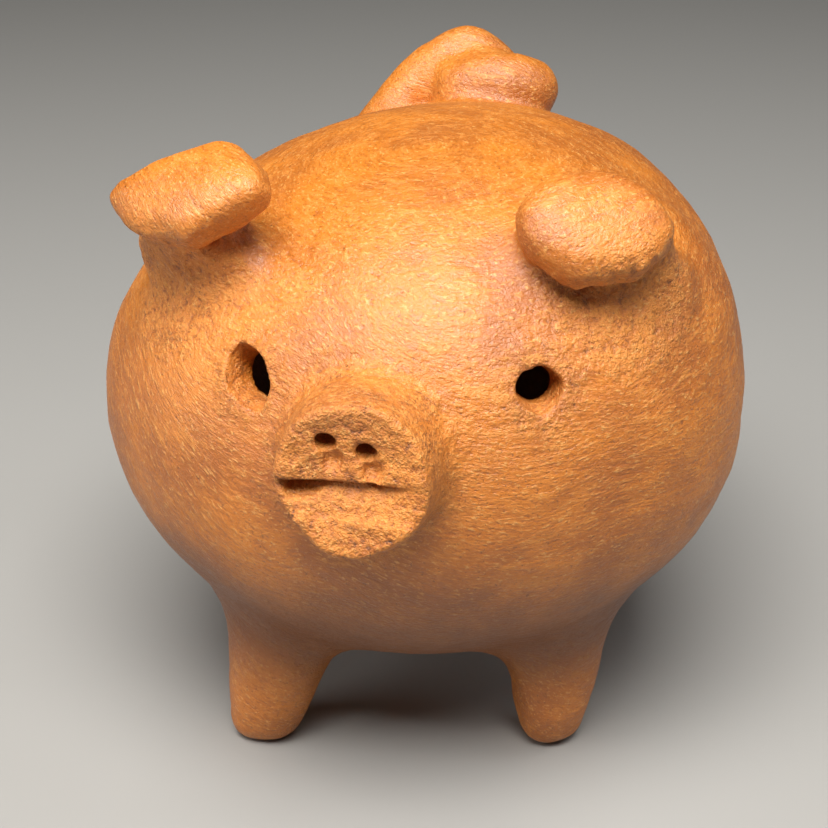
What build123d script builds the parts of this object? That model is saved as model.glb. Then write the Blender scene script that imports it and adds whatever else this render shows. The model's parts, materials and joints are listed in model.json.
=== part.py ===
"""Hand-built terracotta piggy bank, modelled as the clay pieces it is assembled from.

The body is two smoothed bowls joined rim to rim, with a roll of clay pressed into the joint
from inside. Snout, ears, legs and tail are formed separately and luted on, each with its own
collar of soft clay. Millimetres, +Z up, the pig faces -Y and its left side is +X. The origin
is at the middle of the footprint, on the surface that the feet stand on.
"""
from build123d import *
import os
from math import cos, radians, sin

os.makedirs("parts", exist_ok=True)

# Body: an egg lying along Y, widest at the seam between the two bowls
HALF_WIDTH = 46.0
FRONT_LENGTH = 42.5
REAR_LENGTH = 70.0
DOME_HEIGHT = 37.5
BOWL_DEPTH = 36.3
SEAM_HEIGHT = 47.6
BODY_Y = -9.5
WALL = 5.0
# Fullness of the two bowls: length of the curve handles as a share of the radius they run along
DOME_FULLNESS = 0.63
BOWL_FULLNESS = 0.58
BASE_FULLNESS = 0.22
BASE_SHARE = 0.22

# Roll of clay that closes the seam inside
SEAM_ROLL_HEIGHT = 12.0
SEAM_ROLL_DEPTH = 3.0

# Eyes, poked right through the wall
EYE_DIAMETER = 6.4
EYE_X = 18.6
EYE_RISE = 17.0
EYE_TURN = 14.0
EYE_LIFT = 8.0
EYE_Y = -34.0
EYE_DEPTH = 14.0

# Coin slot, cut straight down through the back
SLOT_LENGTH = 31.0
SLOT_WIDTH = 5.2
SLOT_CORNER = 0.8
SLOT_Y = 41.2
SLOT_DEPTH = 30.0

# Snout: a short disc, wider at its root
SNOUT_FACE_RADIUS = 9.2
SNOUT_ROOT_RADIUS = 12.0
SNOUT_X = -2.4
SNOUT_RISE = 11.4
SNOUT_REACH = 50.2
SNOUT_LENGTH = 22.0
SNOUT_TILT = 6.0
SNOUT_STAND = 9.5
SNOUT_ROUNDING = 1.4
NOSTRIL_SPACING = 4.8
NOSTRIL_LENGTH = 2.5
NOSTRIL_WIDTH = 1.7
NOSTRIL_RISE = 4.6
NOSTRIL_DEPTH = 3.0
MOUTH_LENGTH = 15.0
MOUTH_WIDTH = 1.4
MOUTH_DROP = 1.4
MOUTH_DEPTH = 2.4

# Legs: stubby cones that lean in towards the belly, each with a small worn flat to stand on
LEG_TOP_RADIUS = 8.6
LEG_KNEE_RADIUS = 6.5
LEG_FOOT_RADIUS = 4.7
LEG_KNEE_HEIGHT = 12.0
LEG_TOP_HEIGHT = 32.0
LEG_LEAN = 0.8
FOOT_ROUNDING = 1.9
HIP_HEIGHT = 20.5
HIP_LEAN = 0.93
LEG_PLACES = {
    "front_left": (21.5, -16.5),
    "front_right": (-21.5, -22.5),
    "rear_left": (20.5, 38.0),
    "rear_right": (-20.5, 38.0),
}

# Ears: a slab that rises from the head, folds over and hangs forward.
# Each section: forward, height, lean of the slab from upright, width, thickness
EAR_SECTIONS = [
    (0.0, -6.0, 0.0, 19.5, 10.0),
    (-0.4, 2.0, 6.0, 18.5, 8.6),
    (0.8, 7.2, 38.0, 19.5, 7.0),
    (4.4, 9.6, 88.0, 20.5, 6.4),
    (9.0, 7.4, 122.0, 20.0, 6.2),
    (12.8, 3.6, 134.0, 16.0, 5.4),
    (14.4, 1.9, 136.0, 9.0, 3.8),
]
# Root on the head relative to the body centre, and the turn of the ear to its own side
EAR_PLACES = {
    "left": ((25.4, -15.0, 29.5), 0.0),
    "right": ((-24.6, -16.5, 29.5), -28.0),
}

# Tail: one roll of clay, curled over on itself
TAIL_RADIUS = 4.0
TAIL_BEND = 4.1
TAIL_ROUTE = [
    (-21.0, 52.0, 12.0),
    (-15.5, 53.0, 24.0),
    (-2.5, 60.0, 34.2),
    (12.0, 60.5, 29.4),
    (12.0, 51.8, 28.4),
    (0.5, 51.4, 30.4),
]
TAIL_ROOT = 0.22

# Collars: flattened lenses of soft clay pressed round each joint
COLLAR_MARGIN = 4.6
COLLAR_HEIGHT = 5.2

CENTRE = Vector(0, BODY_Y, SEAM_HEIGHT)
BODY_AXIS = Axis(CENTRE, (0, 0, 1))
SEAM_PLANE = Plane(CENTRE)
PROFILE_PLANE = Plane(CENTRE, x_dir=(1, 0, 0), z_dir=(0, -1, 0))


def stretched(profile, inset):
    """Turn a profile about the body axis, the halves stretched to the front and rear lengths."""
    width = HALF_WIDTH - inset
    halves = []
    for length, turn in ((FRONT_LENGTH, -180), (REAR_LENGTH, 180)):
        with BuildPart() as half:
            revolve(profile, axis=BODY_AXIS, revolution_arc=turn)
            scale(by=(1, (length - inset) / width, 1), about=CENTRE)
        halves.append(half.part)
    with BuildPart() as form:
        add(halves)
    return form.part


def egg(inset):
    """The body's egg shape, inset from its outside: a full dome over a flat-bottomed bowl."""
    width = HALF_WIDTH - inset
    top = DOME_HEIGHT - inset
    depth = BOWL_DEPTH - inset
    base = width * BASE_SHARE
    with BuildSketch(PROFILE_PLANE) as profile:
        with BuildLine():
            Bezier(
                (0, top),
                (width * DOME_FULLNESS, top),
                (width, top * DOME_FULLNESS),
                (width, 0),
            )
            Bezier(
                (width, 0),
                (width, -depth * BOWL_FULLNESS),
                (base + width * BASE_FULLNESS, -depth),
                (base, -depth),
            )
            Line((base, -depth), (0, -depth))
            Line((0, -depth), (0, top))
        make_face()
    return stretched(profile.sketch, inset)


OUTSIDE = egg(0)
CAVITY = egg(WALL)


def collar(root, half_long, half_short, shape):
    """Soft clay pressed round one joint: a flattened lens, less the body and the joined piece."""
    reach = half_long + COLLAR_MARGIN
    with BuildPart() as lens:
        with BuildSketch(Plane.XZ):
            Ellipse(reach, COLLAR_HEIGHT)
            Rectangle(reach, 2 * COLLAR_HEIGHT, align=(Align.MAX, Align.CENTER), mode=Mode.SUBTRACT)
        revolve(axis=Axis.Z)
        scale(by=(1, (half_short + COLLAR_MARGIN) / reach, 1))
    with BuildPart() as ring:
        add(lens.part.moved(root.location))
        add(OUTSIDE, mode=Mode.SUBTRACT)
        add(shape, mode=Mode.SUBTRACT)
    return ring.part


def save(part, name):
    """Label one finished piece and write it to its own file."""
    part.label = name
    export_step(part, f"parts/{name}.step")


# ---- Body -------------------------------------------------------------------------------
with BuildPart() as body_lower_bowl:
    add(OUTSIDE)
    add(CAVITY, mode=Mode.SUBTRACT)
    split(bisect_by=SEAM_PLANE, keep=Keep.BOTTOM)
save(body_lower_bowl.part, "body_lower_bowl")

with BuildPart() as body_upper_dome:
    add(OUTSIDE)
    add(CAVITY, mode=Mode.SUBTRACT)
    split(bisect_by=SEAM_PLANE, keep=Keep.TOP)
    for side in (-1, 1):
        turn = radians(EYE_TURN) * side
        lift = radians(EYE_LIFT)
        outward = Vector(sin(turn) * cos(lift), -cos(turn) * cos(lift), sin(lift))
        eye = CENTRE + Vector(side * EYE_X, 0, EYE_RISE) + Vector(0, EYE_Y, 0)
        with BuildSketch(Plane(eye, z_dir=outward)):
            Circle(EYE_DIAMETER / 2)
        extrude(amount=EYE_DEPTH, both=True, mode=Mode.SUBTRACT)
    with BuildSketch(Plane(CENTRE + Vector(0, SLOT_Y, DOME_HEIGHT))):
        RectangleRounded(SLOT_LENGTH, SLOT_WIDTH, SLOT_CORNER)
    extrude(amount=-SLOT_DEPTH, mode=Mode.SUBTRACT)
save(body_upper_dome.part, "body_upper_dome")

inner_width = HALF_WIDTH - WALL
with BuildSketch(PROFILE_PLANE) as roll_profile:
    with BuildLine():
        ThreePointArc(
            (inner_width, SEAM_ROLL_HEIGHT / 2),
            (inner_width - SEAM_ROLL_DEPTH, 0),
            (inner_width, -SEAM_ROLL_HEIGHT / 2),
        )
        Polyline(
            (inner_width, -SEAM_ROLL_HEIGHT / 2),
            (HALF_WIDTH, -SEAM_ROLL_HEIGHT / 2),
            (HALF_WIDTH, SEAM_ROLL_HEIGHT / 2),
            (inner_width, SEAM_ROLL_HEIGHT / 2),
        )
    make_face()
with BuildPart() as seam_coil:
    add(stretched(roll_profile.sketch, WALL))
    add(CAVITY, mode=Mode.INTERSECT)
save(seam_coil.part, "seam_coil")

# ---- Snout ------------------------------------------------------------------------------
tilt = radians(SNOUT_TILT)
snout_axis = Vector(0, -cos(tilt), sin(tilt))
snout_face = Plane(
    CENTRE + Vector(SNOUT_X, -SNOUT_REACH, SNOUT_RISE), x_dir=(1, 0, 0), z_dir=snout_axis
)
with BuildPart() as snout:
    with BuildSketch(snout_face):
        Circle(SNOUT_FACE_RADIUS)
    with BuildSketch(snout_face.offset(-SNOUT_LENGTH)):
        Circle(SNOUT_ROOT_RADIUS)
    loft()
    fillet(snout.faces().sort_by(Axis.Y)[0].edges(), radius=SNOUT_ROUNDING)
    with BuildSketch(snout_face):
        with Locations((-NOSTRIL_SPACING / 2, NOSTRIL_RISE), (NOSTRIL_SPACING / 2, NOSTRIL_RISE)):
            Ellipse(NOSTRIL_LENGTH / 2, NOSTRIL_WIDTH / 2)
    extrude(amount=-NOSTRIL_DEPTH, mode=Mode.SUBTRACT)
    with BuildSketch(snout_face):
        with Locations((0, -MOUTH_DROP)):
            SlotOverall(MOUTH_LENGTH, MOUTH_WIDTH)
    extrude(amount=-MOUTH_DEPTH, mode=Mode.SUBTRACT)
    add(OUTSIDE, mode=Mode.SUBTRACT)
save(snout.part, "snout")
save(
    collar(snout_face.offset(-SNOUT_STAND), SNOUT_FACE_RADIUS, SNOUT_FACE_RADIUS, snout.part),
    "snout_luting_coil",
)


# ---- Legs -------------------------------------------------------------------------------
def leg(x, y):
    """One leg: a flared stub with a rounded foot, cut off where it meets the belly."""
    with BuildPart() as stub:
        for height, radius, lean in (
            (0, LEG_FOOT_RADIUS, 1),
            (LEG_KNEE_HEIGHT, LEG_KNEE_RADIUS, 1),
            (LEG_TOP_HEIGHT, LEG_TOP_RADIUS, LEG_LEAN),
        ):
            with BuildSketch(Plane((x * lean, BODY_Y + y * lean, height))):
                Circle(radius)
        loft()
        fillet(stub.faces().sort_by(Axis.Z)[0].edges(), radius=FOOT_ROUNDING)
        add(OUTSIDE, mode=Mode.SUBTRACT)
    return stub.part


for place, (x, y) in LEG_PLACES.items():
    stub = leg(x, y)
    hip_point = Vector(x * HIP_LEAN, BODY_Y + y * HIP_LEAN, HIP_HEIGHT)
    hip = Plane(hip_point, z_dir=hip_point - CENTRE)
    save(stub, f"leg_{place}")
    save(collar(hip, LEG_KNEE_RADIUS, LEG_KNEE_RADIUS, stub), f"leg_{place}_luting_coil")


# ---- Ears -------------------------------------------------------------------------------
def ear(root, turn):
    """One folded ear, lofted through slab sections that lean further and further forward."""
    heading = Vector(sin(radians(turn)), -cos(radians(turn)), 0)
    across = Vector(cos(radians(turn)), sin(radians(turn)), 0)
    with BuildPart() as slab:
        for forward, height, lean, width, thickness in EAR_SECTIONS:
            along = heading * sin(radians(lean)) + Vector(0, 0, cos(radians(lean)))
            middle = root + heading * forward + Vector(0, 0, height)
            with BuildSketch(Plane(middle, x_dir=across, z_dir=along)):
                Ellipse(width / 2, thickness / 2)
        loft()
        add(OUTSIDE, mode=Mode.SUBTRACT)
    return slab.part


for side, (place, turn) in EAR_PLACES.items():
    root = CENTRE + Vector(*place)
    flap = ear(root, turn)
    brow = Plane(root, x_dir=(cos(radians(turn)), sin(radians(turn)), 0), z_dir=root - CENTRE)
    root_width, root_thickness = EAR_SECTIONS[0][-2:]
    save(flap, f"ear_{side}")
    save(collar(brow, root_width / 2, root_thickness / 2, flap), f"ear_{side}_luting_coil")

# ---- Tail -------------------------------------------------------------------------------
with BuildPart() as tail:
    with BuildLine() as route:
        FilletPolyline(*[CENTRE + Vector(*point) for point in TAIL_ROUTE], radius=TAIL_BEND)
    with BuildSketch(Plane(route.line @ 0, z_dir=route.line % 0)):
        Circle(TAIL_RADIUS)
    sweep(path=route.line)
    with Locations(route.line @ 1):
        Sphere(TAIL_RADIUS)
    add(OUTSIDE, mode=Mode.SUBTRACT)
save(tail.part, "tail")
rump_point = route.line @ TAIL_ROOT
rump = Plane(rump_point, z_dir=rump_point - CENTRE)
save(collar(rump, TAIL_RADIUS, TAIL_RADIUS, tail.part), "tail_luting_coil")
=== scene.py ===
"""Hand-built terracotta piggy bank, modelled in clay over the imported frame.

The clay is one signed-distance field, in millimetres from the middle of the body: negative
inside the clay, positive outside. Every separate piece is the part of that field that
belongs to it, turned into a closed mesh that stands for its CAD node. Meshes are in metres.
"""
import json
from math import cos, pi, radians, sin

import bpy
import numpy as np
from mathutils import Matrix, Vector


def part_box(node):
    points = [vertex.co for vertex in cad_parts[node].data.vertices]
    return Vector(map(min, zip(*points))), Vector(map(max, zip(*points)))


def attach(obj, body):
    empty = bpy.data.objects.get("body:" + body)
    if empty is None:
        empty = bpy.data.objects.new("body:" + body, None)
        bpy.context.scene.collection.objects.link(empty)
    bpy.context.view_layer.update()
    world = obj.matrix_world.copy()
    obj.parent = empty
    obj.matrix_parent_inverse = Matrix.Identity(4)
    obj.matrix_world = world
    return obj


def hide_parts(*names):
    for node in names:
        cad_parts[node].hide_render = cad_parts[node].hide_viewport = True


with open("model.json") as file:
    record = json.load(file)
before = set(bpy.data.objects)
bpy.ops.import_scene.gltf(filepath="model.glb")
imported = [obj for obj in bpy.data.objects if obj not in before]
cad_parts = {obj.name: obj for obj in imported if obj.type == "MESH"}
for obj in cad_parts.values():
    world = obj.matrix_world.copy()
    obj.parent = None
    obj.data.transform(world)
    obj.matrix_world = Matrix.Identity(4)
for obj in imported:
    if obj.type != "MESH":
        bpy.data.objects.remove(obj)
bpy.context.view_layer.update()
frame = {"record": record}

import openvdb as vdb
from mathutils import Matrix, Vector

MM = 0.001


def cad_box(node):
    """Lowest and highest corner of a CAD node, in millimetres."""
    low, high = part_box(node)
    return np.array(low) / MM, np.array(high) / MM


# ---- Sizes taken from the frame ------------------------------------------------------------
DOME_LOW, DOME_HIGH = cad_box("body_upper_dome")
BOWL_LOW, BOWL_HIGH = cad_box("body_lower_bowl")
FRONT_SHARE = 0.378
HALF_WIDTH = (DOME_HIGH[0] - DOME_LOW[0]) / 2
BODY_LENGTH = DOME_HIGH[1] - DOME_LOW[1]
FRONT_LENGTH = BODY_LENGTH * FRONT_SHARE
REAR_LENGTH = BODY_LENGTH - FRONT_LENGTH
DOME_HEIGHT = DOME_HIGH[2] - DOME_LOW[2]
BOWL_DEPTH = BOWL_HIGH[2] - BOWL_LOW[2]
CENTRE = np.array([(DOME_LOW[0] + DOME_HIGH[0]) / 2, DOME_LOW[1] + FRONT_LENGTH, DOME_LOW[2]])
GROUND = -CENTRE[2]

# ---- The potter's shapes, in millimetres from the middle of the body ------------------------
WALL = 5.0
DOME_POWER = 2.27
BOWL_POWER = 1.9
DOME_SHARE = 0.973
BOWL_ROUND_SHARE = 1.035
DOME_LEAN = 5.0
BULGE = 0.03
SLIM = 0.006

# Step between sample points: coarse for the big bowls, fine for the small pieces
BODY_STEP = 0.56
FINE_STEP = 0.32


# ---- Field tools ----------------------------------------------------------------------------
def join(a, b, soft):
    """Union of two fields with a clay fillet about `soft` wide."""
    overlap = np.maximum(soft - np.abs(a - b), 0) / soft
    return np.minimum(a, b) - overlap * overlap * soft / 4


def cut(a, b, soft):
    """Field a with b taken away, the new edge rounded."""
    return -join(-a, b, soft)


def length(*parts):
    """Distance from the origin of the given coordinates."""
    total = parts[0] * parts[0]
    for part in parts[1:]:
        total = total + part * part
    return np.sqrt(total)


def step_between(value, low, high):
    """0 below low, 1 above high, smooth between them."""
    t = np.clip((value - low) / (high - low), 0, 1)
    return t * t * (3 - 2 * t)


NOISE_SIZE = 64
NOISE_TABLE = np.random.default_rng(11).uniform(-1, 1, (NOISE_SIZE,) * 3).astype(np.float32)


def noise(x, y, z, scale, shift=0):
    """Smooth random values from -1 to 1, with bumps about `scale` across."""
    corners, blends = [], []
    for order, value in enumerate(np.broadcast_arrays(x, y, z)):
        place = value / scale + 17.31 * (order + 1) + 5.73 * shift
        corner = np.floor(place)
        t = (place - corner).astype(np.float32)
        corners.append(corner.astype(np.int32) % NOISE_SIZE)
        blends.append(t * t * (3 - 2 * t))
    total = 0
    for a in (0, 1):
        for b in (0, 1):
            for c in (0, 1):
                value = NOISE_TABLE[
                    (corners[0] + a) % NOISE_SIZE,
                    (corners[1] + b) % NOISE_SIZE,
                    (corners[2] + c) % NOISE_SIZE,
                ]
                for blend, side in zip(blends, (a, b, c)):
                    value = value * (blend if side else 1 - blend)
                total = total + value
    return total


class Place:
    """A local frame: u to the right, v up and w along the outward axis."""

    def __init__(self, origin, outward, right=(1, 0, 0), roll=0.0):
        self.origin = np.array(origin, float)
        self.w = np.array(outward, float) / np.linalg.norm(outward)
        u = np.array(right, float)
        u = u - self.w * np.dot(u, self.w)
        u = u / np.linalg.norm(u)
        v = np.cross(self.w, u)
        self.u = u * cos(radians(roll)) + v * sin(radians(roll))
        self.v = np.cross(self.w, self.u)

    def __call__(self, x, y, z):
        dx, dy, dz = x - self.origin[0], y - self.origin[1], z - self.origin[2]
        return [dx * axis[0] + dy * axis[1] + dz * axis[2] for axis in (self.u, self.v, self.w)]


def aim(turn, lift):
    """Unit vector that looks to the front, turned to +X and lifted, in degrees."""
    turn, lift = radians(turn), radians(lift)
    return np.array([sin(turn) * cos(lift), -cos(turn) * cos(lift), sin(lift)])


# ---- Body -----------------------------------------------------------------------------------
def egg(x, y, z, grow=0.0):
    """Distance to the body's egg: a full dome over a tapering bowl with a flat base."""
    x = x - DOME_LEAN * np.clip(z / DOME_HEIGHT, 0, 1) ** 2
    low = np.clip(-z / 15, 0, 1) * np.clip((z - GROUND - 11) / 20, 0, 1)
    wide = HALF_WIDTH * (1 + BULGE * low * np.clip(x / HALF_WIDTH, 0, 1) - SLIM * np.clip(-x / HALF_WIDTH, 0, 1)) + grow
    long = np.where(y < 0, FRONT_LENGTH, REAR_LENGTH) + grow
    high = np.where(z > 0, DOME_HEIGHT * DOME_SHARE, BOWL_DEPTH * BOWL_ROUND_SHARE) + grow
    power = np.where(z > 0, DOME_POWER, BOWL_POWER)
    r = length(x / wide, y / long) + 1e-6
    h = np.abs(z) / high + 1e-6
    f = (r ** power + h ** power) ** (1 / power)
    slope_r = (r / f) ** (power - 1)
    slope_z = (h / f) ** (power - 1) / high
    slope = length(slope_r * x / (wide * wide * r), slope_r * y / (long * long * r), slope_z)
    shape = (f - 1) / np.maximum(slope, 0.004)
    return -join(-shape, BOWL_DEPTH + grow + z, 5.0)


def body_outside(x, y, z):
    """The egg with the unevenness of hand smoothing."""
    shape = egg(x, y, z)
    swell = noise(x, y, z, 21.0, 1) * 0.45 + noise(x, y, z, 9.0, 2) * 0.16
    return shape + swell * step_between(z, GROUND + 8, GROUND + 20)


# ---- Snout ----------------------------------------------------------------------------------
SNOUT_LOW, SNOUT_HIGH = cad_box("snout")
SNOUT_TURN = -3.0
SNOUT_TILT = 10.0
SNOUT_RADIUS = 9.6
SNOUT_FLARE = 0.12
SNOUT_ROUNDING = 1.1
SNOUT_DISH = 0.9
SNOUT_BLEND = 2.2
SNOUT_MIDDLE = (
    (SNOUT_LOW[0] + SNOUT_HIGH[0]) / 2 - CENTRE[0] - 0.3,
    SNOUT_LOW[1] - CENTRE[1] + 0.9,
    (SNOUT_LOW[2] + SNOUT_HIGH[2]) / 2 - CENTRE[2] + 0.3,
)
SNOUT = Place(SNOUT_MIDDLE, aim(SNOUT_TURN, SNOUT_TILT))
# Flattened by a finger: (direction in degrees round the face, how far from its middle)
SNOUT_FLAT = (222, 8.9)
NOSTRILS = [((-4.1, 6.5), (-2.8, 4.0)), ((0.9, 5.8), (2.1, 3.0))]
NOSTRIL_RADIUS = 1.12
NOSTRIL_DEPTH = 4.4
MOUTH_RISE = -0.5
MOUTH_FALL = -0.012
MOUTH_SCOOP = 3.9


def snout_face(u, v, w):
    """Distance out from the snout's slightly sunken face."""
    return w + SNOUT_DISH * np.clip(1 - (u * u + v * v) / SNOUT_RADIUS ** 2, 0, 1)


def snout_shape(x, y, z):
    """A short disc of clay with a dished face, its lower left flattened by a finger."""
    u, v, w = SNOUT(x, y, z)
    side = length(u, v) - SNOUT_RADIUS + w * SNOUT_FLARE + noise(u, v, w, 6.0, 4) * 0.35
    flat = radians(SNOUT_FLAT[0])
    side = -join(-side, -(u * cos(flat) + v * sin(flat) - SNOUT_FLAT[1] + w * SNOUT_FLARE), 1.5)
    chin = 0.5 * step_between(-v, 4.2, 5.6) * step_between(-v, -9.5, -6.5)
    chisel = noise(u, v * 1.9, 0 * w, 5.0, 3) * 0.2 + noise(u, v * 2.2, 0 * w, 1.9, 25) * 0.09
    face = snout_face(u, v, w) - chin + chisel
    return -join(-side, -face, SNOUT_ROUNDING)


def nostril(u, v, w, top, bottom):
    """A hole pushed in and up with a flat stick, and the scoop it left below."""
    inner = np.array([top[0], top[1], -NOSTRIL_DEPTH])
    outer = np.array([bottom[0], bottom[1], 0.5])
    along = outer - inner
    parts = [u - inner[0], v - inner[1], w - inner[2]]
    t = sum(p * a for p, a in zip(parts, along)) / np.dot(along, along)
    t = np.clip(t, 0, 1.4)
    du, dv, dw = [p - a * t for p, a in zip(parts, along)]
    hole = length(du * (0.62 + 0.3 * t), dv, dw) - NOSTRIL_RADIUS + noise(u, v, w, 1.3, 15) * 0.14
    across, down = (u - outer[0] - 0.5) / 1.6, (v - outer[1] + 1.6) / 1.7
    scoop = -1.35 * np.clip(1 - across * across - down * down, 0, 1) - w
    return np.minimum(hole, np.where(scoop < -w, scoop, 9.0))


def mouth_depth(u):
    """How deep the knife went: deep at the pig's right corner, fading out at its left."""
    deep = 4.2 - 2.9 * step_between(u, -6.0, -1.6) + 0.8 * np.exp(-((u - 3.2) / 1.1) ** 2)
    return deep * step_between(-u, -8.0, -3.5) * step_between(u, -9.4, -7.6)


def mouth(u, v, w):
    """A knife slit with a sharp upper lip, and the shallow scoop of the lower lip."""
    below = MOUTH_RISE + MOUTH_FALL * u - v + noise(u, 0 * v, 0 * w, 2.6, 16) * 0.16
    depth = mouth_depth(u)
    gape = 0.45 + 0.58 * np.maximum(depth - 0.6, 0)
    slit = (below / gape) * np.maximum(depth - 0.5, 0.1) - depth - w
    slit = slit / length(1 + 0 * w, np.maximum(depth - 0.5, 0.1) / gape)
    width = MOUTH_SCOOP + noise(u, 0 * v, 0 * w, 3.1, 22) * 0.6
    run = np.clip(below / width, 0, 1)
    fade = step_between(-u, -8.5, -4.0)
    scoop = -1.35 * fade * (1 - run) ** 1.1 - w
    roof = -below + 0.28 * w
    return np.maximum(np.minimum(slit, np.maximum(scoop, below - width)), roof)


def snout_cuts(x, y, z):
    """The two nostrils and the mouth."""
    u, v, w = SNOUT(x, y, z)
    w = snout_face(u, v, w)
    left, right = [nostril(u, v, w, *ends) for ends in NOSTRILS]
    return np.minimum(np.minimum(left, right), mouth(u, v, w))


# ---- Ears -----------------------------------------------------------------------------------
# middle and facing (turn, lift) of the folded pad, its outline as (direction, distance) facets,
# half thickness and how it grows along the pad, how far it droops, then the neck it stands on
# and where the fold that joins the two begins and ends across the pad
EARS = {
    "left": dict(
        pad=(24.4, -25.0, 34.6), facing=(20, 46),
        outline=[(0, 9.6), (45, 8.9), (90, 8.4), (135, 9.2), (180, 9.5), (225, 7.6), (270, 6.7), (312, 8.3)],
        thick=3.3, grow=0.0, droop=0.024, root=(27.0, -14.5, 22.0), top=(24.5, -19.5, 32.5),
        neck=(9.0, 4.6), turn=8, fold=(-4.5, 5.0),
    ),
    "right": dict(
        pad=(-28.6, -24.6, 36.9), facing=(-26, 45),
        outline=[(132, 5.8), (185, 10.8), (239, 7.6), (270, 6.2), (319, 8.0), (10, 13.0), (56, 10.9), (90, 9.4)],
        thick=2.8, grow=0.1, droop=0.034, root=(-29.6, -14.5, 22.0), top=(-26.2, -21.0, 33.0),
        neck=(9.0, 5.0), turn=-32, fold=(-0.5, 5.5),
    ),
}
EAR_BLEND = 4.2
FOLD_PLACE = (1.8, -3.4)
FOLD_RADIUS = 3.3
FOLD_BLEND = 3.0
OUTLINE_POWER = 12
PAD_POWER = 3.3


def outline_ratio(outline, u, v):
    """How far out along a rounded outline given by facets: 1 on the outline itself."""
    total = 1e-9
    for direction, reach in outline:
        a = radians(direction)
        total = total + np.maximum((u * cos(a) + v * sin(a)) / reach, 0) ** OUTLINE_POWER
    return total ** (1 / OUTLINE_POWER)


def ear_shape(ear, x, y, z):
    """A folded slab: a rounded pad that hangs forward from a flat neck."""
    turn = radians(ear["facing"][0])
    place = Place(ear["pad"], aim(*ear["facing"]), (cos(turn), sin(turn), 0))
    u, v, w = place(x, y, z)
    begin, end = ear["fold"]
    past = np.maximum(np.abs(u - (begin + end) / 2) - (end - begin) / 2, 0)
    fold = length(past, v - FOLD_PLACE[0], w - FOLD_PLACE[1]) - FOLD_RADIUS + noise(x, y, z, 3.5, 26) * 0.3
    rim = outline_ratio(ear["outline"], u, v) + noise(u, v, w, 4.5, 6) * 0.035 + noise(u, v, w, 1.7, 18) * 0.012
    w = w + ear["droop"] * v * v + 0.006 * u * u + noise(u, v, 0 * w, 7.0, 5) * 0.3
    thick = ear["thick"] + ear["grow"] * np.clip(u, -10, 10)
    flat = np.abs(w) / thick + 1e-6
    f = (rim ** PAD_POWER + flat ** PAD_POWER) ** (1 / PAD_POWER)
    slope = length((rim / f) ** (PAD_POWER - 1) * rim / (length(u, v) + 0.5), (flat / f) ** (PAD_POWER - 1) / thick)
    chipped = step_between(-v, 1.5, 5.5) * step_between(rim, 0.7, 0.95)
    pad = (f - 1) / np.maximum(slope, 0.06) + chipped * (noise(u, v, w, 1.5, 20) * 0.22 + 0.1)
    axis = np.array(ear["top"]) - np.array(ear["root"])
    turn = radians(ear["turn"])
    stem = Place(ear["root"], axis, (cos(turn), sin(turn), 0))
    a, b, c = stem(x, y, z)
    tall = np.linalg.norm(axis)
    ratio = length(a / ear["neck"][0], b / ear["neck"][1]) + 1e-6
    neck = (ratio - 1) * ear["neck"][1] + noise(x, y, z, 4.0, 17) * 0.3
    neck = -join(-neck, -(np.abs(c - tall / 2) - tall / 2), 2.0)
    return join(join(pad, fold, FOLD_BLEND), neck, FOLD_BLEND)


# ---- Legs -----------------------------------------------------------------------------------
# Where each foot stands, its radius, how much the leg widens and leans in for every mm of height
LEGS = {
    "front_left": dict(foot=(20.9, -16.5), radius=4.0, widen=0.25, lean=0.0),
    "front_right": dict(foot=(-21.1, -20.3), radius=4.75, widen=0.235, lean=0.2),
    "rear_left": dict(foot=(20.5, 38.0), radius=4.1, widen=0.23, lean=0.1),
    "rear_right": dict(foot=(-20.5, 38.0), radius=4.1, widen=0.23, lean=0.1),
}
LEG_BLEND = 7.0
LEG_HEIGHT = 25.0
LEG_REACH = 16.0
LEG_TURN_IN = 0.011
FOOT_ROUNDING = 3.0


def leg_shape(leg, x, y, z):
    """A tapering stub with a rounded foot, widening to the belly it is pressed on."""
    foot_x, foot_y = leg["foot"]
    rise = np.clip(z - GROUND, 0, LEG_HEIGHT)
    eased = LEG_REACH * np.tanh(rise / LEG_REACH)
    middle_x = foot_x - np.sign(foot_x) * leg["lean"] * eased
    middle_y = foot_y * (1 - LEG_TURN_IN * (rise - eased) * 3)
    across = length(x - middle_x, y - middle_y)
    angle = np.arctan2(y - middle_y, x - middle_x)
    facets = 0.22 * np.cos(3 * angle + foot_y) + noise(x, y, z, 6.0, 7) * 0.35
    side = (across - leg["radius"] - leg["widen"] * eased + facets) * 0.92
    side = -join(-side, GROUND + LEG_HEIGHT - z, 6.0)
    return -join(-side, z - GROUND, FOOT_ROUNDING)


# ---- Tail -----------------------------------------------------------------------------------
TAIL_BLEND = 3.4
TAIL_ROUTE = [
    (-19.2, 52.0, 13.8, 4.7), (-13.0, 54.5, 23.6, 4.5), (-6.1, 58.0, 31.4, 4.1), (-0.1, 59.4, 34.9, 4.0),
    (3.5, 59.2, 32.2, 4.0), (8.3, 57.5, 29.0, 4.3), (10.9, 54.4, 30.1, 4.9), (6.9, 53.2, 30.9, 5.3),
    (1.5, 53.0, 30.5, 5.1), (-0.5, 53.6, 29.4, 4.5),
]
TAIL_FOLD = 4
TAIL_FOLD_BLEND = 3.2


def spline(points, count):
    """Points along a smooth curve through the given ones."""
    points = np.array(points, float)
    ends = np.vstack([2 * points[0] - points[1], points, 2 * points[-1] - points[-2]])
    out = []
    for i in range(len(points) - 1):
        a, b, c, d = ends[i:i + 4]
        for t in np.arange(count) / count:
            out.append(0.5 * (2 * b + (c - a) * t + (2 * a - 5 * b + 4 * c - d) * t ** 2
                              + (3 * b - a - 3 * c + d) * t ** 3))
    return np.array(out + [points[-1]])


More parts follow.
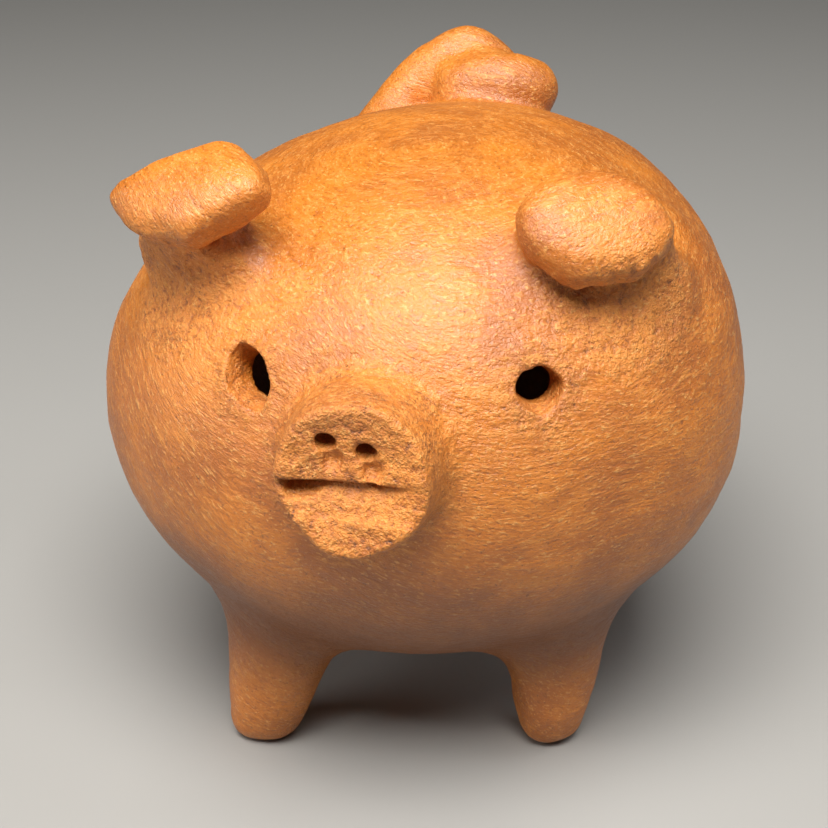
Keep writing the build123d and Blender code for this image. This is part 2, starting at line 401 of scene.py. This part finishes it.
def roll_distance(route, x, y, z):
    """Distance to a roll of clay along a route of (x, y, z, radius)."""
    total = None
    for a, b in zip(route[:-1], route[1:]):
        along = b[:3] - a[:3]
        t = ((x - a[0]) * along[0] + (y - a[1]) * along[1] + (z - a[2]) * along[2]) / np.dot(along, along)
        t = np.clip(t, 0, 1)
        near = length(x - a[0] - along[0] * t, y - a[1] - along[1] * t, z - a[2] - along[2] * t)
        near = near - a[3] - (b[3] - a[3]) * t
        total = near if total is None else np.minimum(total, near)
    return total


def tail_shape(x, y, z):
    """A roll of clay that rises behind the back and is curled over on itself."""
    steps = 8
    route = spline(TAIL_ROUTE, steps)
    rising = roll_distance(route[:TAIL_FOLD * steps + 1], x, y, z)
    curled = roll_distance(route[TAIL_FOLD * steps:], x, y, z)
    return join(rising, curled, TAIL_FOLD_BLEND) + noise(x, y, z, 5.0, 8) * 0.3 + noise(x, y, z, 2.2, 21) * 0.08


# ---- Openings -------------------------------------------------------------------------------
EYES = {
    "right": Place((-18.3, -35.0, 16.9), aim(-18, 16), roll=32),
    "left": Place((18.7, -34.8, 17.2), aim(21, 8), roll=-6),
}
EYE_HALF = {"right": (3.2, 4.5), "left": (3.2, 2.7)}
EYE_FUNNEL = {"right": 0.07, "left": 0.035}
EYE_DEPTH = 14.0
EYE_PATCH = 8.0


def eye_cut(side, x, y, z):
    """A hole poked through the wall with a stick: wide and ragged outside, narrower inside."""
    u, v, w = EYES[side](x, y, z)
    half_u, half_v = EYE_HALF[side]
    size = np.clip(1 + EYE_FUNNEL[side] * w, 0.5, 1.2)
    ragged = noise(u, v, w * 0.4, 2.2, 9) * 0.42 + noise(u, v, w, 1.1, 19) * 0.16
    hole = (length(u / (half_u * size), v / (half_v * size)) - 1) * min(half_u, half_v) + ragged
    return np.maximum(hole, np.abs(w) - EYE_DEPTH)


OPENINGS = {o["name"]: np.array(o["box_m"]) / MM - CENTRE for o in frame["record"]["physics"]["openings"]}
SLOT_LOW, SLOT_HIGH = OPENINGS["coin_slot"]


def slot_cut(x, y, z):
    """The coin slot, cut with a knife straight down through the back."""
    middle = (SLOT_LOW + SLOT_HIGH) / 2
    half = (SLOT_HIGH - SLOT_LOW) / 2
    wavy = noise(x, 0 * y, 0 * z, 6.0, 10) * 0.2
    across = np.abs(y - middle[1] + wavy) - half[1] - 0.15
    return np.maximum(np.maximum(np.abs(x - middle[0]) - half[0] - 0.5, across), SLOT_LOW[2] - z)


# ---- Surface ----------------------------------------------------------------------------------
def rawness(x, y, z):
    """How rough and unburnished the clay is: 1 on the snout's face, 0 on the smooth back."""
    u, v, w = SNOUT(x, y, z)
    face = step_between(w, -2.6, -0.9) * step_between(-length(u, v), -10.5, -8.6)
    around = step_between(-length(u, v, w * 0.5 + 3), -19, -9)
    total = np.maximum(face, 0.6 * around)
    for place in EYES.values():
        u, v, w = place(x, y, z)
        total = np.maximum(total, 0.6 * step_between(-length(u, v), -9, -3.5) * step_between(w, -9, -2))
    for ear in EARS.values():
        under = np.array(ear["root"]) + (0, -7, 3)
        apart = length(x - under[0], y - under[1], z - under[2])
        total = np.maximum(total, 0.75 * step_between(-apart, -15, -8))
    return total


# Burnishing strokes follow level circles round the body, tilted and steeper on the pig's right
STROKE_TILT = 0.3
STROKE_CURVE = 0.006


def surface_noise(x, y, z):
    """Hand-made unevenness of the skin: burnishing strokes round the body, dents and grit."""
    level = z + STROKE_TILT * x - STROKE_CURVE * x * x
    out = length(x, y)
    strokes = noise(x, y, level * 3.2 - out, 7.0, 12) * 0.08 + noise(x, y, level * 4.5 - out * 1.5, 3.6, 23) * 0.035
    dents = noise(x, y, z, 5.5, 13) * 0.08 + noise(x, y, z, 1.9, 14) * 0.04
    raw = rawness(x, y, z)
    grit = noise(x + 0.5 * z, y - 0.6 * x, z - 0.5 * y, 0.95, 24) * 0.13 * raw
    return strokes * (1 - 0.8 * raw) + dents + grit


# ---- The whole clay, on a block of sample points ----------------------------------------------
class Joined:
    """One piece luted to the body: its shape, where it reaches, and how soft its joint is."""

    def __init__(self, node, shape, soft, ring):
        self.node, self.shape, self.soft, self.ring = node, shape, soft, ring
        low, high = cad_box(node)
        coil_low, coil_high = cad_box(node + "_luting_coil")
        margin = soft + 4.0
        self.low = np.minimum(low, coil_low) - CENTRE - margin
        self.high = np.maximum(high, coil_high) - CENTRE + margin


JOINED = [Joined("snout", snout_shape, SNOUT_BLEND, 2.6)]
for side in EARS:
    JOINED.append(Joined("ear_" + side, lambda x, y, z, e=EARS[side]: ear_shape(e, x, y, z), EAR_BLEND, 3.4))
for name in LEGS:
    JOINED.append(Joined("leg_" + name, lambda x, y, z, g=LEGS[name]: leg_shape(g, x, y, z), LEG_BLEND, 4.2))
JOINED.append(Joined("tail", tail_shape, TAIL_BLEND, 3.0))

FAR = 4.0
OVERLAP = 1.1
DIP = 0.03


class Block:
    """A box of sample points on the shared lattice, with the clay field and its sources."""

    def __init__(self, low, high, step):
        self.step = step
        self.first = np.floor(np.array(low) / step).astype(int) - 2
        last = np.ceil(np.array(high) / step).astype(int) + 2
        self.axes = [np.arange(a, b + 1) * step for a, b in zip(self.first, last)]
        self.points = np.meshgrid(*self.axes, indexing="ij", sparse=True)
        self.body = body_outside(*self.points).astype(np.float32)
        self.clay = self.body.copy()
        self.rings = {}
        self.cores = {}
        for joined in JOINED:
            window = self.window(joined.low, joined.high)
            if window is None:
                continue
            piece = joined.shape(*self.at(window)).astype(np.float32)
            near = self.body[window]
            self.clay[window] = join(self.clay[window], piece, joined.soft)
            ring = length(near, piece) - joined.ring
            core = np.maximum(np.maximum(-near, piece - 1.5), -ring)
            self.rings[joined.node] = (window, ring)
            self.cores[joined.node] = (window, core)
        self.carve()

    def window(self, low, high):
        """The slices of this block that lie between two corners."""
        out = []
        for axis, a, b in zip(self.axes, low, high):
            start, stop = np.searchsorted(axis, a), np.searchsorted(axis, b)
            if stop - start < 2:
                return None
            out.append(slice(start, stop))
        return tuple(out)

    def at(self, window):
        """Sparse coordinates of a window."""
        axes = [axis[part] for axis, part in zip(self.axes, window)]
        return np.meshgrid(*axes, indexing="ij", sparse=True)

    def near_surface(self, field, reach):
        """Coordinates and mask of the sample points within reach of a field's surface."""
        mask = np.abs(field) < reach
        return mask, [np.broadcast_to(p, field.shape)[mask] for p in self.points]

    def carve(self):
        """Surface unevenness, the hollow and everything that is poked or cut."""
        mask, (x, y, z) = self.near_surface(self.clay, 1.6)
        self.clay[mask] += surface_noise(x, y, z)
        self.clay = np.maximum(self.clay, (GROUND - self.points[2]).astype(np.float32))
        window = self.window(SNOUT_MIDDLE - np.array([14, 4, 14]), SNOUT_MIDDLE + np.array([14, 14, 14]))
        if window is not None:
            cuts = snout_cuts(*self.at(window))
            self.clay[window] = cut(self.clay[window], cuts, 0.5)
        hollow = egg(*self.points, grow=-WALL)
        roll = length(hollow + 0.0 * self.body, 0 * hollow + self.points[2] * 0.55) - 3.0
        self.hollow = hollow
        hollow = -join(-hollow, roll, 1.6)
        self.clay = cut(self.clay, hollow.astype(np.float32), 0.6)
        for side in EYES:
            middle = EYES[side].origin
            window = self.window(middle - 20, middle + 20)
            if window is not None:
                self.clay[window] = cut(self.clay[window], eye_cut(side, *self.at(window)), 0.3)
        window = self.window(SLOT_LOW - 4, SLOT_HIGH + 4)
        if window is not None:
            self.clay[window] = cut(self.clay[window], slot_cut(*self.at(window)), 0.8)

    def elsewhere(self):
        """Positive inside the clay that belongs to the luted pieces and their coils."""
        total = np.full(self.clay.shape, -FAR, np.float32)
        for table in (self.rings, self.cores):
            for window, field in table.values():
                total[window] = np.maximum(total[window], -field)
        return total

    def mesh(self, owner):
        """Points and quads of the clay inside an owner region, as a closed surface."""
        field = self.clay + DIP * np.clip(owner, 0, FAR)
        field = np.maximum(field, owner - OVERLAP)
        field = np.clip(field, -FAR, FAR).astype(np.float32)
        for axis in range(3):
            edge = [slice(None)] * 3
            for side in (0, -1):
                edge[axis] = side
                field[tuple(edge)] = FAR
        grid = vdb.FloatGrid(FAR)
        grid.copyFromArray(np.ascontiguousarray(field), ijk=tuple(int(i) for i in self.first))
        grid.transform = vdb.createLinearTransform(voxelSize=self.step)
        return grid.convertToQuads(isovalue=0.0)


def largest_part(points, quads):
    """Drops crumbs: keeps only the quads connected to the biggest lump."""
    label = np.arange(len(points))
    pairs = np.vstack([quads[:, [0, 1]], quads[:, [1, 2]], quads[:, [2, 3]]])
    while True:
        low = np.minimum(label[pairs[:, 0]], label[pairs[:, 1]])
        fresh = label.copy()
        np.minimum.at(fresh, pairs[:, 0], low)
        np.minimum.at(fresh, pairs[:, 1], low)
        fresh = fresh[fresh]
        if np.array_equal(fresh, label):
            break
        label = fresh
    names, counts = np.unique(label[quads[:, 0]], return_counts=True)
    quads = quads[label[quads[:, 0]] == names[np.argmax(counts)]]
    used, index = np.unique(quads, return_inverse=True)
    return points[used], index.reshape(quads.shape)


def make_piece(node, parts, slot):
    """A Blender object for one piece of clay, riding on the root body."""
    parts = [largest_part(*part) for part in parts]
    counts = np.cumsum([0] + [len(points) for points, _ in parts])
    quads = np.vstack([quads + first for (_, quads), first in zip(parts, counts)])
    points = np.vstack([points for points, _ in parts])
    mesh = bpy.data.meshes.new(node + "_clay")
    mesh.vertices.add(len(points))
    mesh.vertices.foreach_set("co", ((points + CENTRE) * MM).astype(np.float32).ravel())
    mesh.loops.add(quads.size)
    mesh.loops.foreach_set("vertex_index", quads.astype(np.int32).ravel())
    mesh.polygons.add(len(quads))
    mesh.polygons.foreach_set("loop_start", np.arange(0, quads.size, 4, dtype=np.int32))
    mesh.polygons.foreach_set("use_smooth", np.ones(len(quads), bool))
    mesh.update(calc_edges=True)
    raw = mesh.attributes.new("raw", "FLOAT", "POINT")
    raw.data.foreach_set("value", rawness(*points.T).astype(np.float32))
    piece = bpy.data.objects.new(node + "_clay", mesh)
    bpy.context.scene.collection.objects.link(piece)
    mesh.materials.append(CLAYS[slot])
    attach(piece, "root")
    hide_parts(node)
    print(node, len(quads), "quads")
    return piece


# ---- Materials --------------------------------------------------------------------------------
class Nodes:
    """Short hand for building a node tree."""

    def __init__(self, tree):
        self.tree = tree

    def add(self, kind, inputs=(), **settings):
        node = self.tree.nodes.new(kind)
        for name, value in settings.items():
            setattr(node, name, value)
        for name, value in dict(inputs).items():
            self.put(node.inputs[name], value)
        return node

    def put(self, socket, value):
        if isinstance(value, bpy.types.NodeSocket):
            self.tree.links.new(value, socket)
        else:
            socket.default_value = value

    def math(self, operation, *values):
        node = self.add("ShaderNodeMath", operation=operation)
        for socket, value in zip(node.inputs, values):
            self.put(socket, value)
        return node.outputs[0]

    def vector(self, x, y, z):
        return self.add("ShaderNodeCombineXYZ", {"X": x, "Y": y, "Z": z}).outputs[0]

    def grain(self, place, scale, detail=2.0, rough=0.5, warp=0.0):
        """Noise from 0 to 1, with `scale` bumps per millimetre."""
        inputs = {"Vector": place, "Scale": scale, "Detail": detail, "Roughness": rough, "Distortion": warp}
        return self.add("ShaderNodeTexNoise", inputs).outputs["Fac"]

    def streaks(self, x, y, level, out, along, across, detail, rough):
        """Noise drawn out along the strokes: `along` and `across` are bumps per millimetre."""
        place = self.vector(*(self.math("MULTIPLY", v, k) for v, k in ((x, along), (y, along), (level, across))))
        inputs = {"Vector": place, "W": self.math("MULTIPLY", out, across * 0.7), "Scale": 1.0, "Detail": detail}
        inputs.update({"Roughness": rough, "Distortion": 0.3})
        return self.add("ShaderNodeTexNoise", inputs, noise_dimensions="4D").outputs["Fac"]

    def ramp(self, value, low, high, start=0.0, end=1.0):
        inputs = {"Value": value, "From Min": low, "From Max": high, "To Min": start, "To Max": end}
        return self.add("ShaderNodeMapRange", inputs, interpolation_type="SMOOTHSTEP").outputs["Result"]

    def blend(self, amount, first, second, mode="MIX"):
        node = self.add("ShaderNodeMix", data_type="RGBA", blend_type=mode)
        self.put(node.inputs[0], amount)
        self.put(node.inputs[6], first)
        self.put(node.inputs[7], second)
        return node.outputs[2]


CLAY_ORANGE = (0.61, 0.188, 0.013, 1)
CLAY_BROWN = (0.38, 0.104, 0.009, 1)
CLAY_PALE = (0.67, 0.255, 0.038, 1)
CLAY_SAND = (0.76, 0.390, 0.110, 1)
# painted shade colour for the underside of the body
CLAY_BELLY_SHADE = (0.13, 0.036, 0.005, 1)
# near-black painted shade for the pits and cracks
CLAY_PIT_SHADE = (0.075, 0.022, 0.004, 1)


def clay_material(name, raw_base):
    """Fired clay: burnished with strokes that run round the body, rough and sandy where it is raw."""
    material = bpy.data.materials.new(name)
    material.use_nodes = True
    n = Nodes(material.node_tree)
    shader = n.tree.nodes["Principled BSDF"]
    place = n.add("ShaderNodeTexCoord").outputs["Object"]
    place = n.add("ShaderNodeVectorMath", {0: place, 1: tuple(CENTRE * MM)}, operation="SUBTRACT").outputs[0]
    scaled = n.add("ShaderNodeVectorMath", {0: place, "Scale": 1 / MM}, operation="SCALE").outputs[0]
    split = n.add("ShaderNodeSeparateXYZ", {0: scaled})
    x, y, z = split.outputs
    raw = n.add("ShaderNodeAttribute", attribute_name="raw").outputs["Fac"]
    raw = n.math("MAXIMUM", raw, raw_base)
    rough_edge = n.grain(scaled, 0.45, 3.0)
    raw = n.ramp(n.math("ADD", raw, n.math("MULTIPLY", n.math("SUBTRACT", rough_edge, 0.5), 0.9)), 0.15, 0.85)
    # strokes lie along tilted circles round the body and waver a little
    wander = n.math("MULTIPLY", n.grain(scaled, 0.03, 1.0), 16.0)
    slant = n.math("SUBTRACT", STROKE_TILT, n.math("MULTIPLY", x, STROKE_CURVE))
    level = n.math("ADD", n.math("ADD", z, wander), n.math("MULTIPLY", x, slant))
    out = n.math("SQRT", n.math("ADD", n.math("MULTIPLY", x, x), n.math("MULTIPLY", y, y)))
    strokes = n.streaks(x, y, level, out, 0.28, 1.2, 5.0, 0.66)
    fine = n.streaks(x, y, level, out, 1.3, 2.8, 3.0, 0.6)
    clouds = n.grain(scaled, 0.06, 4.0, 0.6)
    sand = n.grain(scaled, 2.3, 2.0, 0.6)
    crumbs = n.grain(scaled, 0.9, 3.0, 0.65)
    ridge = n.math("ABSOLUTE", n.math("SUBTRACT", n.grain(scaled, 0.42, 5.0, 0.7, 0.6), 0.5))
    crack_places = n.ramp(n.grain(scaled, 0.16, 2.0), 0.50, 0.62)
    cracks = n.math("MULTIPLY", n.ramp(ridge, 0.008, 0.0), n.math("MULTIPLY", crack_places, raw))
    polish = n.math("SUBTRACT", 1.0, raw)
    colour = n.blend(n.ramp(clouds, 0.34, 0.64), CLAY_BROWN, CLAY_ORANGE)
    colour = n.blend(n.ramp(strokes, 0.50, 0.66, 0.0, 0.6), colour, CLAY_PALE)
    colour = n.blend(n.ramp(strokes, 0.48, 0.32, 0.0, 0.75), colour, CLAY_BROWN)
    colour = n.blend(n.ramp(fine, 0.54, 0.70, 0.0, 0.75), colour, CLAY_SAND)
    colour = n.blend(n.ramp(fine, 0.45, 0.30, 0.0, 0.9), colour, CLAY_BROWN)
    colour = n.blend(n.math("MULTIPLY", raw, n.ramp(crumbs, 0.42, 0.62, 0.05, 0.4)), colour, CLAY_PALE)
    colour = n.blend(n.math("MULTIPLY", raw, n.ramp(sand, 0.56, 0.72, 0.0, 0.6)), colour, CLAY_SAND)
    colour = n.blend(n.math("MULTIPLY", raw, n.ramp(crumbs, 0.52, 0.36, 0.0, 0.65)), colour, CLAY_BROWN)
    # painted shade: the low spots of the sand and crumbs, and the cracks, are painted near black, as if in shade
    deep = n.math("MULTIPLY", raw, n.ramp(crumbs, 0.40, 0.28, 0.0, 0.7))
    painted_pit_shade = n.math("ADD", n.ramp(sand, 0.39, 0.27, 0.0, 0.55), n.math("MAXIMUM", deep, n.math("MULTIPLY", cracks, 0.7)))
    colour = n.blend(n.math("MINIMUM", painted_pit_shade, 0.85), colour, CLAY_PIT_SHADE)
    # painted shade: the belly is painted darker than the rest, as if in shade, fading out again over the legs
    height = n.math("ADD", z, n.math("MULTIPLY", clouds, 12.0))
    painted_belly_shade = n.math("MULTIPLY", n.ramp(height, 3.0, -18.0, 0.0, 0.82), n.ramp(height, -36.0, -21.0))
    colour = n.blend(painted_belly_shade, colour, CLAY_BELLY_SHADE)
    n.put(shader.inputs["Base Color"], colour)
    shine = n.math("ADD", n.ramp(strokes, 0.35, 0.65, 0.40, 0.54), n.math("MULTIPLY", raw, 0.22))
    n.put(shader.inputs["Roughness"], n.math("ADD", shine, n.ramp(sand, 0.4, 0.7, -0.04, 0.08)))
    shader.inputs["Specular IOR Level"].default_value = 0.85
    height = n.math("ADD", n.math("MULTIPLY", strokes, 0.25), n.math("MULTIPLY", fine, 0.21))
    height = n.math("MULTIPLY", height, n.math("ADD", n.math("MULTIPLY", polish, 0.7), 0.3))
    grit = n.math("ADD", n.math("MULTIPLY", sand, 0.38), n.math("MULTIPLY", crumbs, 0.48))
    height = n.math("ADD", height, n.math("MULTIPLY", grit, n.math("ADD", n.math("MULTIPLY", raw, 0.75), 0.25)))
    height = n.math("SUBTRACT", height, n.math("MULTIPLY", cracks, 0.12))
    bump = n.add("ShaderNodeBump", {"Height": height, "Strength": 1.0, "Distance": MM})
    n.put(shader.inputs["Normal"], bump.outputs[0])
    return material


CLAYS = {name: clay_material(name, raw_base) for name, raw_base in (("burnished_clay", 0.0), ("raw_clay", 0.1))}

# ---- Build the pieces ---------------------------------------------------------------------------
SLOTS = {row["node"]: row["material_slot"] for row in frame["record"]["subparts"]}


def build_body():
    """The two bowls and the seam roll, from one coarse block."""
    low = np.minimum(DOME_LOW, BOWL_LOW) - CENTRE
    high = np.maximum(DOME_HIGH, BOWL_HIGH) - CENTRE
    block = Block(low - 2, high + 2, BODY_STEP)
    x, y, z = block.points
    roll = block.hollow + 0.6
    shell = np.maximum(block.elsewhere(), -np.maximum(roll, np.abs(z) - 7.0))
    dome, patches = np.maximum(shell, -z), []
    for eye in EYES.values():
        dome = np.maximum(dome, EYE_PATCH - length(*(p - o for p, o in zip(block.points, eye.origin))))
        reach = EYE_PATCH + OVERLAP + 1
        fine = Block(eye.origin - reach, eye.origin + reach, FINE_STEP)
        apart = length(*(p - o for p, o in zip(fine.points, eye.origin)))
        patches.append(fine.mesh(np.maximum(fine.elsewhere(), (apart - EYE_PATCH).astype(np.float32))))
    make_piece("body_upper_dome", [block.mesh(dome)] + patches, SLOTS["body_upper_dome"])
    make_piece("body_lower_bowl", [block.mesh(np.maximum(shell, z))], SLOTS["body_lower_bowl"])
    make_piece("seam_coil", [block.mesh(np.maximum(roll, np.abs(z) - 7.0))], SLOTS["seam_coil"])


def build_joined(joined):
    """One luted piece and its coil, from a fine block."""
    block = Block(joined.low, joined.high, FINE_STEP)
    for table, node in ((block.cores, joined.node), (block.rings, joined.node + "_luting_coil")):
        window, field = table[joined.node]
        owner = np.full(block.clay.shape, FAR, np.float32)
        owner[window] = field
        make_piece(node, [block.mesh(owner)], SLOTS[node])


build_body()
for joined in JOINED:
    build_joined(joined)

# ---- Stage, light and camera ----------------------------------------------------------------------
def area_light(name, place, target, size, power, colour=(1, 1, 1)):
    """A soft rectangular light aimed at a point."""
    data = bpy.data.lights.new(name, "AREA")
    data.shape = "RECTANGLE"
    data.size, data.size_y = size
    data.energy = power
    data.color = colour
    light = bpy.data.objects.new(name, data)
    light.location = place
    light.rotation_euler = (Vector(target) - Vector(place)).to_track_quat("-Z", "Y").to_euler()
    bpy.context.scene.collection.objects.link(light)
    return light


def build_stage():
    """A pale floor and plain soft light."""
    mesh = bpy.data.meshes.new("floor")
    mesh.from_pydata([(-3, -3, 0), (3, -3, 0), (3, 3, 0), (-3, 3, 0)], [], [(0, 1, 2, 3)])
    floor = bpy.data.objects.new("floor", mesh)
    bpy.context.scene.collection.objects.link(floor)
    material = bpy.data.materials.new("floor")
    material.use_nodes = True
    shader = material.node_tree.nodes["Principled BSDF"]
    shader.inputs["Base Color"].default_value = (0.33, 0.33, 0.325, 1)
    shader.inputs["Roughness"].default_value = 0.7
    mesh.materials.append(material)
    world = bpy.data.worlds.new("studio")
    world.use_nodes = True
    world.node_tree.nodes["Background"].inputs["Color"].default_value = (1, 0.96, 0.90, 1)
    world.node_tree.nodes["Background"].inputs["Strength"].default_value = 0.05
    bpy.context.scene.world = world
    middle = Vector(CENTRE * MM)
    area_light("key", middle + Vector((0.0, -0.21, 0.47)), middle, (0.42, 0.30), 6.0, (1, 0.96, 0.90))
    area_light("left", middle + Vector((-0.50, -0.20, 0.22)), middle, (0.3, 0.3), 1.0, (1, 0.97, 0.93))
    area_light("right", middle + Vector((0.52, 0.12, 0.36)), middle, (0.25, 0.35), 0.6)


build_stage()

VIEW_TURN = 7.17
VIEW_LIFT = 25.99
VIEW_DISTANCE = 258.05
VIEW_LENS = 76.78
VIEW_SHIFT = (-1.32, -3.72)


def build_camera():
    """The camera, at the photograph's viewing angle and distance."""
    back = -aim(-VIEW_TURN, 0) * -1
    back = np.array([sin(radians(VIEW_TURN)) * cos(radians(VIEW_LIFT)),
                     -cos(radians(VIEW_TURN)) * cos(radians(VIEW_LIFT)), sin(radians(VIEW_LIFT))])
    right = np.array([cos(radians(VIEW_TURN)), sin(radians(VIEW_TURN)), 0])
    up = np.cross(back, right)
    target = CENTRE + right * VIEW_SHIFT[0] + up * VIEW_SHIFT[1]
    data = bpy.data.cameras.new("camera")
    data.lens = VIEW_LENS
    data.sensor_width = 36.0
    data.clip_start = 0.01
    camera = bpy.data.objects.new("camera", data)
    camera.matrix_world = Matrix.Translation((target + back * VIEW_DISTANCE) * MM) @ Matrix(
        [(right[i], up[i], back[i]) for i in range(3)]).to_4x4()
    bpy.context.scene.collection.objects.link(camera)
    bpy.context.scene.camera = camera


build_camera()
bpy.context.scene.view_settings.view_transform = "Standard"
